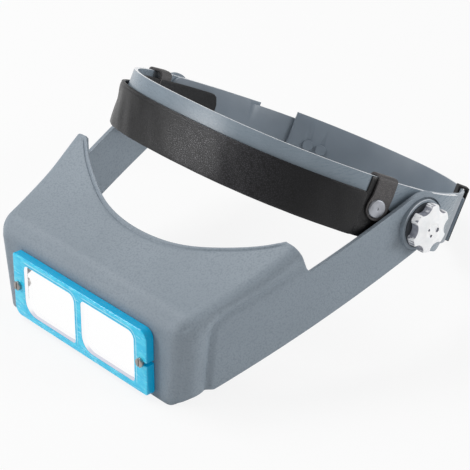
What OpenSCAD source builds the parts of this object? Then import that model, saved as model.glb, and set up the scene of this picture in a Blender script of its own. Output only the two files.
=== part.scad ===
// Headband magnifier: a moulded visor with a twin-lens plate, hinged on an
// adjustable head ring that carries a soft comfort band.
// The part stands as it rests on a table: +Z up, lens plate facing -Y,
// the visor on its front foot and the ring tipped back on its rear edge.

/* [Head ring] */
// Half width of the ring, outside
ring_half_w = 90.9; // [84:0.1:98]
// Half length of the ring, front to rear, outside
ring_half_l = 97.7; // [92:0.1:108]
// Distance of the ring's centre behind the pivots
ring_centre = 13.1; // [8:0.1:18]
// Squareness of the ring's outline, 2 is an ellipse
ring_power = 2.47; // [2:0.01:3]
// Squareness of its right rear quarter, where the straps pull it flatter
rear_power = 1.65; // [1.5:0.05:2.4]
// Thickness of the front band
band_t = 2; // [1.6:0.1:2.4]
// Top edge of the band above the pivots
band_top = 15.5; // [14:0.5:17]
// Lower edge of the band below the pivots
band_drop = 10; // [8:0.5:11]
// Lower edge of the temple ears below the pivots
ear_drop = 13.4; // [12.5:0.1:15]
// How far an ear reaches in front of the pivot
ear_front = 18; // [16:0.5:20]
// How far an ear reaches behind the pivot
ear_rear = 35; // [30:0.5:38]
// Corner radius of the ears
ear_r = 5; // [3:0.5:7]

/* [Rear straps] */
// Thickness of a strap
strap_t = 1.6; // [1.2:0.1:2]
// How much the right strap's top edge rises behind its pivot
strap_rise = 2; // [0.5:0.5:3]
// How much lower the tongue's top edge is than the left strap's
tongue_step = 2; // [1:0.5:4]
// Outline angle where the left strap narrows to its tongue
tongue_start = 154; // [150:1:158]
// Outline angle where the tongue ends
tongue_end = 39; // [36:3:42]
// Outline angle where the right strap ends
strap_end = 141; // [138:1:144]
// Pitch of the size holes, in degrees of the outline
hole_pitch = 6; // [5:0.5:7]
// Number of size holes in the tongue
hole_count = 8; // [4:1:9]
// Radius of a size hole
size_hole_r = 2; // [1.6:0.1:2.4]
// Width of the strap keeper along the strap
keeper_w = 11; // [8:0.5:14]
// Wall of the strap keeper
keeper_t = 1; // [0.8:0.1:1.4]
// Outline angle of the keeper's middle
keeper_at = 47; // [46:1:52]

/* [Comfort band] */
// Thickness of the leather
leather_t = 1.8; // [1.4:0.1:2.2]
// Lowest edge of the folded leather below the pivots
fold_drop = 15; // [14.5:0.1:17]
// Top edge of the outer flap above the pivots
outer_flap_top = 7.5; // [4:0.5:10]
// Top edge of the inner flap above the pivots
inner_flap_top = 12.5; // [9:0.5:14]
// How far in front of the pivots the outer flap ends
outer_flap_end = 33.5; // [33.5:0.5:37]
// How far behind the pivots the inner flap ends
inner_flap_end = 24; // [18:0.5:28]
// Corner radius of the flaps
flap_r = 5; // [3:0.5:7]
// Width of a tab
tab_w = 14.5; // [12:0.5:17]
// Distance of a tab's middle in front of the pivots
tab_at = 27.5; // [26:0.1:29]
// Thickness of a tab where it folds over the band
tab_t = 1.3; // [1:0.1:1.6]
// Lower end of a tab below the pivots
tab_drop = 6.5; // [5:0.5:8]
// Radius of a snap cap
snap_r = 5; // [4:0.5:5]
// Height of a snap cap
snap_h = 0.9; // [0.7:0.1:1.1]

/* [Visor] */
// Height of the pivots above the table
pivot_h = 62.5; // [58:0.5:66]
// Distance of the front wall ahead of the pivots
hood_front = 136; // [128:0.5:142]
// Top of the front wall below the pivots
hood_front_drop = 15; // [12:0.5:18]
// Distance of the forehead cutout's middle ahead of the pivots
cutout_front = 101.5; // [98:0.5:104]
// Cutout's middle below the pivots
cutout_drop = 4.5; // [3.5:0.5:8]
// Distance of the horns ahead of the pivots
horn_front = 73; // [70:0.5:76]
// Horn tips above the pivots
horn_rise = 9.3; // [7:0.1:11]
// Half distance between the horn tips
horn_half_w = 76.5; // [75:0.5:78]
// Wall thickness of the visor
visor_t = 2; // [1.6:0.1:2.4]
// Radius of the hood's edges
hood_r = 9; // [7:0.5:11]
// Height of the arms
arm_h = 29.8; // [28:0.2:31]
// How much the arms' middle line passes above the pivots
arm_lift = 1.9; // [0.8:0.1:2.2]
// Angle at which the arms run down to the hood
arm_drop = 19.8; // [18.5:0.1:21]
// Distance of the creases between arms and hood behind the front wall
crease_back = 19; // [17:0.5:21]
// Radius to which the arms are bowed
arm_bow_r = 640; // [560:10:760]
// Splay of the arms at the pivots, in degrees
arm_splay = 5; // [4:0.1:6]
// How far the hood stands proud of the arms' outer faces
hood_step = 1.2; // [0.8:0.1:1.6]
// How much the hood's top widens towards the front wall
hood_flare = 3.8; // [2:0.2:5]
// How much the hood's sides draw in towards the table
foot_tuck = 1.1; // [0:0.1:1.4]

/* [Lens plate] */
// Width of the lens plate
plate_w = 105; // [100:0.5:110]
// Height of the lens plate
plate_h = 35.7; // [34:0.1:37]
// Thickness of the lens plate
plate_t = 3.4; // [3.2:0.1:4.4]
// Gap between the plate's lower edge and the table
plate_clear = 2.4; // [2:0.1:4]
// Corner radius of the lens plate
plate_r = 4; // [3:0.5:6]
// Width of a lens
lens_w = 41; // [38:0.5:42]
// Height of a lens
lens_h = 28; // [26:0.5:29]
// Corner radius of a lens
lens_r = 5; // [4:0.5:7]
// Width of the bridge between the lenses
bridge_w = 5; // [4:0.5:6]
// Rim that holds a lens from behind
lens_lip = 1.2; // [0.8:0.1:1.6]
// Thickness of a lens at its edge
lens_t = 1.8; // [1.6:0.1:2]
// Radius of a lens's front curve
lens_curve_r = 160; // [120:5:240]
// Half distance between the plate's screws
screw_half = 48.5; // [47.8:0.1:49]
// Radius of a plate screw
screw_r = 1.25; // [1:0.05:1.5]
// Radius of a screw head
screw_head_r = 2.4; // [2:0.1:2.6]
// Height of a screw head
screw_head_h = 1.8; // [1.4:0.1:2.2]

/* [Pivots] */
// Radius of the pivot bolts
bolt_r = 2.5; // [2:0.1:3]
// Side of a bolt's square neck
neck_w = 5; // [4.4:0.1:5.6]
// Radius of a bolt's head
bolt_head_r = 6; // [5:0.1:6.5]
// Height of a bolt's head
bolt_head_h = 1.6; // [1.2:0.1:2]
// Radius of the flat boss on an ear
ear_boss_r = 12.4; // [11.5:0.1:12.8]
// Thickness of the spacer washer inside an arm
spacer_t = 2; // [1.8:0.1:2.4]
// Radius of the raised boss on an arm
arm_boss_r = 13.4; // [13:0.1:14]
// Thickness of an arm's boss
arm_boss_t = 3.3; // [3:0.1:3.8]
// Depth of the washer's seat in an arm's boss
seat_d = 1.2; // [0.8:0.1:1.4]
// Radius of the clamp washer
clamp_r = 11.6; // [11:0.1:12]
// Thickness of the clamp washer
clamp_t = 1.6; // [1.3:0.1:2]
// Outer radius of a knob, over its lobes
knob_r = 12; // [11.5:0.1:13]
// Thickness of a knob
knob_t = 7; // [6:0.5:8]
// Number of lobes on a knob
knob_lobes = 7; // [5:1:8]
// How far the lobes stand out of the knob's body
lobe_rise = 2; // [1.4:0.1:2.6]
// Radius of a lobe
lobe_r = 3.3; // [2.9:0.1:3.6]
// Outer radius of the threaded insert
insert_r = 3.6; // [3.3:0.1:4]

/* [Fits] */
// Radial clearance of a bolt in what turns on it
run_gap = 0.06; // [0.03:0.01:0.1]
// Clearance between flat faces that slide
face_gap = 0.1; // [0.05:0.05:0.2]
// Clearance between pieces that are seated on each other
seat_gap = 0.15; // [0.1:0.05:0.25]
// Clearance of soft pieces and of the keeper
soft_gap = 0.3; // [0.25:0.05:0.4]

/* [Hidden] */
$fn = 64;
right = 1;
left = -1;
reach = 400;

// The ring's outline, and points set off from it along its normal
ring_step = 3;
function sgn(v) = v < 0 ? -1 : 1;
function power_at(t) = cos(t) > 0 && sin(t) > 0 ? rear_power : ring_power;
function ring_pt(t) = let (power = power_at(t)) [
    ring_half_w * sgn(cos(t)) * pow(abs(cos(t)), 2 / power),
    ring_centre + ring_half_l * sgn(sin(t)) * pow(abs(sin(t)), 2 / power)];
function unit2(v) = v / norm(v);
function ring_normal(t) = let (power = power_at(t)) unit2([
    sgn(cos(t)) * pow(abs(cos(t)), 2 - 2 / power) / ring_half_w,
    sgn(sin(t)) * pow(abs(sin(t)), 2 - 2 / power) / ring_half_l]);
function ring_at(t, d) = ring_pt(t) + d * ring_normal(t);
// Outline angle at a distance behind the pivots, in the front half of the ring
function ring_angle(y) = asin(sgn(y - ring_centre)
    * pow(abs(y - ring_centre) / ring_half_l, ring_power / 2));
// Half width there
function ring_x(y) = ring_half_w
    * pow(1 - pow(abs(y - ring_centre) / ring_half_l, ring_power), 1 / ring_power);
function smooth(v) = let (s = min(1, max(0, v))) s * s * (3 - 2 * s);
function mix(a, b, s) = a + (b - a) * s;

// How the ring tips back until its rear edge meets the table
tongue_out = -0.4;
rear_reach = ring_centre + ring_half_l + tongue_out;
ring_tilt = asin(pivot_h / norm([rear_reach, band_drop])) - atan2(band_drop, rear_reach);

// Outline angle taken by a quarter of the keeper's width
keeper_turn = keeper_w / 4 / norm(ring_pt(keeper_at + 1) - ring_pt(keeper_at));

// Fore and aft reach, which centres the part on the origin
plate_front = hood_front + seat_gap + plate_t;
screw_front = plate_front + screw_head_h;
rear_far = rear_reach * cos(ring_tilt) + (band_top - tongue_step) * sin(ring_tilt);
strap_far = (ring_centre + ring_half_l - band_t - seat_gap) * cos(ring_tilt)
    + (band_top + strap_rise) * sin(ring_tilt);
keeper_corner = ring_at(keeper_at + 2 * keeper_turn, tongue_out + soft_gap + keeper_t);
keeper_far = keeper_corner[1] * cos(ring_tilt)
    + (band_top + strap_rise + soft_gap + keeper_t) * sin(ring_tilt);
pivot_y = (screw_front - max(rear_far, strap_far, keeper_far)) / 2;

// Depths of the layers on the ring, from its outline inwards
strap_out = -band_t - seat_gap;
strap_in = strap_out - strap_t;
strap_pad = 0.5;
tongue_in = tongue_out - strap_t;

// Stations along the pivot axis, from the ring outwards
pivot_x = ring_x(0);
head_out_x = pivot_x + strap_in - strap_pad;
head_in_x = head_out_x - bolt_head_h;
ear_face_x = pivot_x + 0.6;
spacer_x = ear_face_x + seat_gap / 3;
arm_in_x = spacer_x + spacer_t + face_gap;
arm_boss_x = arm_in_x + arm_boss_t;
clamp_x = arm_boss_x - seat_d + seat_gap / 3;
knob_x = clamp_x + clamp_t + face_gap;
knob_face_x = knob_x + knob_t;
bolt_end_x = knob_face_x - 1.5;
neck_end_x = ear_face_x;

// Depths of the leather's inner flap, in front and at the temples
flap_front = band_t + soft_gap;
flap_side = pivot_x - head_in_x + soft_gap;
flap_front_y = -58;
flap_side_y = -24;
function flap_depth(t) = mix(flap_front, flap_side,
    smooth((ring_pt(t)[1] - flap_front_y) / (flap_side_y - flap_front_y)));

// Sizes of the small rounds and reliefs
corner_small = 2;
pin_slop = 0.1;

// A drawing in the Y-Z plane, carried right across the part
module across(width = reach) {
    rotate([90, 0, 90]) translate([0, 0, -width / 2]) linear_extrude(width) children();
}

// Rectangle with round corners, from corner to corner
module round_rect(low, high, r) {
    translate([low[0] + r, low[1]]) square([high[0] - low[0] - 2 * r, high[1] - low[1]]);
    translate([low[0], low[1] + r]) square([high[0] - low[0], high[1] - low[1] - 2 * r]);
    for (x = [low[0] + r, high[0] - r], y = [low[1] + r, high[1] - r])
        translate([x, y]) circle(r);
}

// Cylinder along X from one station to another, on the pivot axis
module axle(r, from, to) {
    translate([from, 0, 0]) rotate([0, 90, 0]) cylinder(r = r, h = to - from);
}

module on_side(side) {
    if (side > 0) children(); else mirror([1, 0, 0]) children();
}

// The ring's tipped frame and the visor's upright frame, both at the pivots
module ring_frame() {
    translate([0, pivot_y, pivot_h]) rotate([-ring_tilt, 0, 0]) children();
}
module visor_frame() {
    translate([0, pivot_y, pivot_h]) children();
}

// Whole ring of even depth between two levels
module ring_wall(out, inner, low, high) {
    translate([0, 0, low]) linear_extrude(high - low) difference() {
        polygon([for (t = [0:ring_step:359]) ring_at(t, out)]);
        polygon([for (t = [0:ring_step:359]) ring_at(t, inner)]);
    }
}

// Places a piece on the ring's outline, its Z along the outward normal
module on_ring(t, d = 0, z = 0) {
    p = ring_at(t, d);
    n = ring_normal(t);
    translate([p[0], p[1], z]) rotate([0, 0, atan2(n[1], n[0])]) rotate([0, 90, 0]) children();
}

// Front band with its temple ears
snap_z = 0.8;
snap_angle = ring_angle(-tab_at);
post_r = 1.5;

module band_side() {
    round_rect([-reach / 2, -band_drop], [ear_rear, band_top], corner_small);
    round_rect([-ear_front, -ear_drop], [ear_rear, band_top], ear_r);
    translate([-ear_front, -band_drop]) square([ear_front, band_top + band_drop]);
    translate([0, 0]) square([ear_rear, band_top - corner_small]);
    round_rect([0, 0], [ear_rear, band_top], corner_small);
}

// Where the right side's top edge leaves the band's and climbs to the strap's
climb_start = 4;
module climb_side(end, corner) {
    polygon([[climb_start, 0], [climb_start, band_top],
        [end - corner, band_top + strap_rise * (end - corner - climb_start) / (end - climb_start)],
        [end, band_top + strap_rise - corner], [end, 0]]);
}

module front_band() {
    color("lightslategray") ring_frame() difference() {
        union() {
            intersection() {
                ring_wall(0, -band_t, -ear_drop - 1, band_top + strap_rise + 1);
                union() {
                    across() band_side();
                    translate([reach / 4, 0, 0]) across(reach / 2)
                        climb_side(ear_rear, corner_small);
                }
            }
            for (side = [left, right]) on_side(side)
                axle(ear_boss_r, pivot_x - band_t / 2, ear_face_x);
        }
        for (side = [left, right]) on_side(side) {
            translate([pivot_x, 0, 0]) cube([4 * band_t, neck_w + 2 * pin_slop,
                neck_w + 2 * pin_slop], center = true);
            on_ring(snap_angle, 0, snap_z)
                cylinder(r = post_r + pin_slop, h = 4 * band_t, center = true);
        }
    }
}

// Rear straps: the right one lies inside, the left one ends in a tongue
strap_front = 12;
strap_nose_r = 6;

module strap_side(top, front_end) {
    round_rect([front_end, -band_drop], [reach / 2, top], strap_nose_r);
}

module strap_bolt_hole() {
    axle(bolt_r + pin_slop, pivot_x - 4 * band_t, ear_face_x);
    translate([pivot_x + strap_out, 0, 0]) cube([2 * strap_t + 2 * strap_pad,
        neck_w + 2 * pin_slop, neck_w + 2 * pin_slop], center = true);
}

module strap_pad() {
    axle(bolt_head_r + 1, head_out_x, pivot_x + strap_out - strap_t / 2);
}

module right_strap() {
    color("slategray") ring_frame() difference() {
        union() {
            intersection() {
                linear_extrude(reach, center = true) polygon(concat(
                    [for (t = [-18:ring_step:strap_end]) ring_at(t, strap_out)],
                    [for (t = [strap_end:-ring_step:-18]) ring_at(t, strap_in)]));
                across() {
                    strap_side(band_top, -strap_front);
                    climb_side(ear_rear, 0);
                    translate([ear_rear, 0]) square([reach, band_top + strap_rise]);
                }
            }
            strap_pad();
        }
        strap_bolt_hole();
        for (i = [0:1]) on_ring(stud_angle(i), strap_out, stud_z)
            cylinder(r = stud_neck_r + pin_slop, h = 4 * strap_t, center = true);
    }
}

// Depth of the left strap's outer face along the outline
function left_out(t) = mix(tongue_out, strap_out, smooth((t - 145) / 20));

module left_strap_body(from, to) {
    linear_extrude(reach, center = true) polygon(concat(
        [for (t = [from:ring_step:to]) ring_at(t, left_out(t))],
        [for (t = [to:-ring_step:from]) ring_at(t, left_out(t) - strap_t)]));
}

module left_strap() {
    tongue_x = ring_at(tongue_start, 0)[0];
    color("slategray") ring_frame() difference() {
        union() {
            intersection() {
                left_strap_body(tongue_end, 198);
                union() {
                    intersection() {
                        across() strap_side(band_top, -strap_front);
                        translate([-reach, -reach / 2, -reach / 2])
                            cube([reach + tongue_x, reach, reach]);
                    }
                    across() round_rect([ring_centre, -band_drop],
                        [reach / 2, band_top - tongue_step], corner_small);
                }
            }
            mirror([1, 0, 0]) strap_pad();
        }
        mirror([1, 0, 0]) strap_bolt_hole();
        for (i = [0:hole_count - 1])
            on_ring(first_hole - i * hole_pitch, tongue_out, stud_z)
                cylinder(r = size_hole_r, h = 4 * strap_t, center = true);
    }
}

// Studs that hold the tongue to the right strap
first_hole = 132;
stud_z = 1.5;
stud_neck_r = size_hole_r - pin_slop;
stud_head_r = size_hole_r + 1;
stud_head_t = 0.9;
function stud_angle(i) = first_hole - i * hole_pitch;

module size_studs() {
    color("gray") ring_frame() for (i = [0:1]) on_ring(stud_angle(i), 0, stud_z) {
        translate([0, 0, strap_in - stud_head_t - seat_gap])
            cylinder(r = stud_head_r, h = stud_head_t);
        translate([0, 0, strap_in - seat_gap - stud_head_t])
            cylinder(r = stud_neck_r, h = tongue_out - strap_in + stud_head_t + 2 * seat_gap + 0.4);
        translate([0, 0, tongue_out + seat_gap])
            cylinder(r1 = stud_head_r, r2 = stud_head_r - 0.6, h = stud_head_t);
    }
}

// Keeper that slides along both straps
strap_h = band_top + strap_rise + band_drop;
module keeper_outline(grow) {
    depth_out = tongue_out + soft_gap + grow;
    depth_in = strap_in - soft_gap - grow;
    polygon(concat(
        [for (i = [-2:2]) ring_at(keeper_at + i * keeper_turn, depth_out)],
        [for (i = [2:-1:-2]) ring_at(keeper_at + i * keeper_turn, depth_in)]));
}

module strap_keeper() {
    color("black") ring_frame() difference() {
        translate([0, 0, -band_drop - soft_gap - keeper_t])
            linear_extrude(strap_h + 2 * soft_gap + 2 * keeper_t)
            keeper_outline(keeper_t);
        intersection() {
            translate([0, 0, -band_drop - soft_gap])
                linear_extrude(strap_h + 2 * soft_gap)
                polygon(concat(
                    [for (t = [30:ring_step:66]) ring_at(t, tongue_out + soft_gap)],
                    [for (t = [66:-ring_step:30]) ring_at(t, strap_in - soft_gap)]));
        }
    }
}

// Comfort band: leather folded round the band's lower edge, with two tabs
module flap_ring(low, high, out) {
    steps = [for (t = [171:ring_step:372]) t];
    translate([0, 0, low]) linear_extrude(high - low) polygon(concat(
        [for (t = steps) ring_at(t, is_undef(out) ? -flap_depth(t) : out)],
        [for (i = [len(steps) - 1:-1:0]) ring_at(steps[i], -flap_depth(steps[i]) - leather_t)]));
}

module comfort_band() {
    tab_low = -tab_drop;
    tab_top = band_top + soft_gap + tab_t;
    tab_r = tab_w / 2 - 0.5;
    color("#2d2b30") ring_frame() {
        // outer flap
        intersection() {
            ring_wall(soft_gap + leather_t, soft_gap, -fold_drop, outer_flap_top);
            across() round_rect([-reach / 2, -fold_drop], [-outer_flap_end, outer_flap_top],
                flap_r);
        }
        // fold under the band
        intersection() {
            flap_ring(-fold_drop, -fold_drop + leather_t, leather_t + soft_gap);
            across() translate([-reach / 2, -fold_drop])
                square([reach / 2 - outer_flap_end - flap_r, leather_t]);
        }
        // inner flap
        intersection() {
            flap_ring(-fold_drop, inner_flap_top);
            across() round_rect([-reach / 2, -fold_drop], [inner_flap_end, inner_flap_top],
                flap_r);
        }
        // tabs over the band's top edge
        intersection() {
            union() {
                ring_wall(soft_gap + tab_t, soft_gap, tab_low, tab_top);
                flap_ring(inner_flap_top - 1, tab_top);
                flap_ring(band_top + soft_gap, tab_top, soft_gap + tab_t);
            }
            across() round_rect([-tab_at - tab_w / 2, tab_low],
                [-tab_at + tab_w / 2, tab_top + tab_w / 2], tab_r);
        }
    }
}

// Snap caps on the tabs, and their posts through the band
cap_d = 2 * soft_gap + tab_t;
module snap_caps() {
    color("silver") ring_frame() for (side = [left, right]) on_side(side)
        on_ring(snap_angle, 0, snap_z) difference() {
            translate([0, 0, cap_d])
                cylinder(r1 = snap_r, r2 = snap_r - 0.7 * snap_h, h = snap_h);
            translate([0, 0, cap_d + snap_h / 2]) cylinder(r = 0.6, h = snap_h);
        }
}

module snap_posts() {
    color("gray") ring_frame() for (side = [left, right]) on_side(side)
        on_ring(snap_angle, 0, snap_z) {
            translate([0, 0, -band_t - 1.1 - pin_slop]) cylinder(r = 3, h = 1.1);
            translate([0, 0, -band_t - 0.5]) cylinder(r = post_r, h = band_t + 0.5 + soft_gap / 2);
        }
}

// Visor: hood shell and two bowed arms, moulded in one
arm_out_x = arm_in_x + visor_t;
bow_centre = [arm_out_x - arm_bow_r * cos(arm_splay), arm_bow_r * sin(arm_splay)];
// Half width over the arms' outer faces at a distance behind the pivots
function arm_x(y) = bow_centre[0] + sqrt(pow(arm_bow_r, 2) - pow(y - bow_centre[1], 2));

// The hood's top in side view rises in an arc from the front to the horns
arc_a = [-hood_front, -hood_front_drop];
arc_b = [-cutout_front, -cutout_drop];
arc_c = [-horn_front, horn_rise];
arc_d = 2 * (arc_a[0] * (arc_b[1] - arc_c[1]) + arc_b[0] * (arc_c[1] - arc_a[1])
    + arc_c[0] * (arc_a[1] - arc_b[1]));
arc_mid = [((arc_a * arc_a) * (arc_b[1] - arc_c[1]) + (arc_b * arc_b) * (arc_c[1] - arc_a[1])
    + (arc_c * arc_c) * (arc_a[1] - arc_b[1])) / arc_d,
    ((arc_a * arc_a) * (arc_c[0] - arc_b[0]) + (arc_b * arc_b) * (arc_a[0] - arc_c[0])
    + (arc_c * arc_c) * (arc_b[0] - arc_a[0])) / arc_d];
arc_r = norm(arc_a - arc_mid);
function hood_z(y) = arc_mid[1] - sqrt(arc_r * arc_r - pow(y - arc_mid[0], 2));

// A pair of rounded posts of the hood, from the table up to the hood's top
function top_flare(y) = hood_flare * max(0, -horn_front - y) / (hood_front - horn_front);
module hood_posts(x, y, grow) {
    r = hood_r + grow;
    foot = grow < 0 ? 2 : 0;
    for (side = [left, right]) {
        translate([side * (x - hood_r - foot_tuck), y, -pivot_h - foot])
            cylinder(r = r, h = 1, $fn = 32);
        translate([side * (x - hood_r + top_flare(y)), y, hood_z(y) - hood_r])
            sphere(r, $fn = 32);
    }
}

post_1 = -hood_front + hood_r;
post_2 = -cutout_front;
post_3 = -(cutout_front + horn_front) / 2;
post_4 = -horn_front + hood_r;
function hood_x(y) = arm_x(y) + hood_step;
module hood_solid(grow) {
    hull() {
        hood_posts(hood_x(-hood_front), post_1, grow);
        hood_posts(hood_x(post_2), post_2, grow);
    }
    hull() {
        hood_posts(hood_x(post_2), post_2, grow);
        hood_posts(hood_x(post_3), post_3, grow);
    }
    hull() {
        hood_posts(hood_x(post_3), post_3, grow);
        hood_posts(hood_x(post_4), post_4, grow);
    }
}

// Upper edge of an arm in side view
function arm_top(y) = (arm_lift + arm_h / 2) / cos(arm_drop) + y * tan(arm_drop);
crease_y = -hood_front + crease_back;
notch_y = -horn_front + 7;

// Side view of an arm, from the hood to its round end
module arm_side() {
    rotate(arm_drop) {
        translate([0, arm_lift]) circle(arm_h / 2);
        translate([-hood_front, arm_lift - arm_h / 2]) square([hood_front, arm_h]);
    }
    polygon([[notch_y, arm_top(notch_y) - 4], [notch_y - 2, arm_top(notch_y) - 1],
        [crease_y - 2, arm_top(crease_y) + 7], [crease_y - 2, arm_top(crease_y) - 4]]);
}

// Side view of the hood that is kept, back to its crease and to the horns
module hood_side() {
    polygon([[-reach / 2, -pivot_h], [-hood_front + visor_t, -pivot_h],
        [crease_y, arm_top(crease_y) - arm_h / cos(arm_drop) - 0.4],
        [crease_y, arm_top(crease_y) + 1], [crease_y + 3, arm_top(crease_y) + 4],
        [crease_y + 24, arm_top(crease_y + 24) - 1], [notch_y, arm_top(notch_y) - 3],
        [notch_y, arm_top(notch_y) + 1], [-horn_front + 0.5, horn_rise + 1],
        [-horn_front + 0.5, horn_rise + 30], [-reach / 2, horn_rise + 30]]);
}

// Plan of the forehead cutout, from horn to horn
module cutout_plan() {
    depth = cutout_front - horn_front;
    r = (horn_half_w * horn_half_w + depth * depth) / 2 / depth;
    translate([0, -cutout_front + r]) circle(r, $fn = 120);
}

module arm_plan(side) {
    on_side(side) intersection() {
        difference() {
            translate(bow_centre) circle(arm_bow_r, $fn = 360);
            translate(bow_centre) circle(arm_bow_r - visor_t, $fn = 360);
        }
        translate([plate_w / 2, -hood_front]) square([reach / 4, hood_front + arm_h]);
    }
}

// Fills the hood out to the arms where it stands proud of them
module join_plan(side) {
    on_side(side) difference() {
        translate([plate_w / 2, crease_y - 4])
            square([reach / 4, notch_y + 3 - crease_y]);
        translate(bow_centre) circle(arm_bow_r - visor_t, $fn = 360);
    }
}

module visor() {
    color("lightslategray") visor_frame() difference() {
        union() {
            intersection() {
                difference() {
                    hood_solid(0);
                    difference() {
                        hood_solid(-visor_t);
                        intersection() {
                            translate([0, 0, -reach / 2]) linear_extrude(reach) {
                                join_plan(left);
                                join_plan(right);
                            }
                            across() arm_side();
                        }
                    }
                    linear_extrude(reach, center = true) cutout_plan();
                }
                across() hood_side();
            }
            intersection() {
                translate([0, 0, -reach / 2]) linear_extrude(reach) union() {
                    arm_plan(left);
                    arm_plan(right);
                }
                across() difference() {
                    arm_side();
                    translate([-reach, -reach / 2]) square([reach + crease_y - 5, reach]);
                }
            }
            for (side = [left, right]) on_side(side) axle(arm_boss_r, arm_in_x, arm_boss_x);
        }
        for (side = [left, right]) on_side(side) {
            axle(bolt_r + run_gap, arm_in_x - 5, arm_boss_x + 5);
            axle(clamp_r + seat_gap, arm_boss_x - seat_d, arm_boss_x + 5);
            axle(arm_boss_r + 3, arm_in_x - 8, arm_in_x);
        }
        for (side = [left, right])
            translate([side * screw_half, -hood_front + visor_t / 2, plate_z])
                rotate([90, 0, 0])
                cylinder(r = screw_r + pin_slop, h = 4 * visor_t, center = true);
        at_front(hood_front + visor_t, 4 * visor_t)
            round_rect([-window_w / 2, -window_h / 2], [window_w / 2, window_h / 2], lens_r);
    }
}

// Lens plate: a clear plate with two windows and open slots for its screws
plate_z = -pivot_h + plate_clear + plate_h / 2;
lens_half = (bridge_w + lens_w) / 2;
lens_back = 1.2;
window_w = bridge_w + 2 * lens_w - 2 * lens_lip;
window_h = lens_h - 2 * lens_lip;

module plate_face() {
    round_rect([-plate_w / 2, -plate_h / 2], [plate_w / 2, plate_h / 2], plate_r);
}

module lens_face(shrink) {
    round_rect([-lens_w / 2 + shrink, -lens_h / 2 + shrink],
        [lens_w / 2 - shrink, lens_h / 2 - shrink], lens_r - shrink);
}

// Drawing in the X-Z plane, laid from a station ahead of the pivots rearwards
module at_front(y, depth) {
    translate([0, -y + depth, plate_z]) rotate([90, 0, 0]) linear_extrude(depth) children();
}

module lens_plate() {
    color([0.16, 0.7, 0.88, 0.75]) visor_frame() difference() {
        at_front(plate_front, plate_t) plate_face();
        for (side = [left, right]) {
            translate([side * lens_half, 0, 0])
                at_front(plate_front + 1, plate_t - lens_back + 1) lens_face(0);
            translate([side * lens_half, 0, 0])
                at_front(plate_front + 1, plate_t + 2) lens_face(lens_lip);
            at_front(plate_front + 1, plate_t + 2) on_side(side) {
                translate([screw_half, 0]) circle(screw_r + pin_slop);
                translate([screw_half, -screw_r - pin_slop])
                    square([plate_w, 2 * (screw_r + pin_slop)]);
            }
        }
    }
}

module lens(side) {
    back_y = -plate_front + plate_t - lens_back;
    color([0.93, 0.96, 1, 0.35]) visor_frame() intersection() {
        translate([side * lens_half, 0, 0])
            at_front(-back_y + 2 * lens_t, 2 * lens_t) lens_face(pin_slop);
        translate([side * lens_half, back_y - lens_t - lens_sag() + lens_curve_r, plate_z])
            sphere(lens_curve_r, $fn = 240);
    }
}
function lens_sag() = lens_curve_r
    - sqrt(pow(lens_curve_r, 2) - pow(norm([lens_w, lens_h]) / 2, 2));
module left_lens() { lens(left); }
module right_lens() { lens(right); }

// Screws through the plate's slots, and their nuts behind the front wall
nut_r = 2.6;
nut_t = 1.6;
module plate_screws() {
    color("darkkhaki") visor_frame() for (side = [left, right])
        translate([side * screw_half, -screw_front, plate_z]) rotate([-90, 0, 0])
        difference() {
            union() {
                cylinder(r = screw_head_r, h = screw_head_h - seat_gap / 2);
                cylinder(r = screw_r, h = screw_head_h + plate_t + seat_gap + visor_t + nut_t + 1);
            }
            cube([0.6, 3 * screw_head_r, 1.2], center = true);
        }
}

module plate_nuts() {
    color("darkkhaki") visor_frame() for (side = [left, right])
        translate([side * screw_half, -hood_front + visor_t + seat_gap / 2, plate_z])
        rotate([-90, 0, 0]) difference() {
            cylinder(r = nut_r, h = nut_t, $fn = 6);
            translate([0, 0, -1]) cylinder(r = screw_r + pin_slop / 2, h = nut_t + 2);
        }
}

// Pivot hardware, made for the right side and mirrored
module pivot_bolt(side) {
    color("silver") ring_frame() on_side(side) {
        axle(bolt_head_r, head_in_x, head_out_x - seat_gap / 3);
        translate([(head_out_x - 0.5 + neck_end_x) / 2, 0, 0])
            cube([neck_end_x - head_out_x + 0.5, neck_w, neck_w], center = true);
        axle(bolt_r, head_out_x, bolt_end_x);
    }
}
module left_pivot_bolt() { pivot_bolt(left); }
module right_pivot_bolt() { pivot_bolt(right); }

module spacer(side) {
    color("dimgray") ring_frame() on_side(side) difference() {
        axle(ear_boss_r, spacer_x, spacer_x + spacer_t);
        axle(bolt_r + pin_slop, spacer_x - 1, spacer_x + spacer_t + 1);
    }
}
module left_spacer() { spacer(left); }
module right_spacer() { spacer(right); }

module clamp_washer(side) {
    color("#3a3c40") visor_frame() on_side(side) difference() {
        axle(clamp_r, clamp_x, clamp_x + clamp_t);
        axle(bolt_r + run_gap, clamp_x - 1, clamp_x + clamp_t + 1);
    }
}
module left_clamp_washer() { clamp_washer(left); }
module right_clamp_washer() { clamp_washer(right); }

// Star knob, its lobes spread evenly round a hub
insert_h = knob_t - 1.2;
module knob_face() {
    difference() {
        union() {
            circle(knob_r - lobe_rise);
            for (i = [0:knob_lobes - 1]) rotate(i * 360 / knob_lobes)
                translate([knob_r - lobe_r, 0]) circle(lobe_r);
        }
        circle(bolt_r + 0.4);
    }
}

module knob(side) {
    color("white") ring_frame() on_side(side) difference() {
        translate([knob_x, 0, 0]) rotate([0, 90, 0]) linear_extrude(knob_t) knob_face();
        axle(insert_r + seat_gap / 3, knob_x - 1, knob_x + insert_h + seat_gap / 3);
    }
}
module left_knob() { knob(left); }
module right_knob() { knob(right); }

module knob_insert(side) {
    color("gold") ring_frame() on_side(side) difference() {
        axle(insert_r, knob_x, knob_x + insert_h);
        axle(bolt_r + run_gap, knob_x - 1, knob_face_x + 1);
    }
}
module left_knob_insert() { knob_insert(left); }
module right_knob_insert() { knob_insert(right); }

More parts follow.
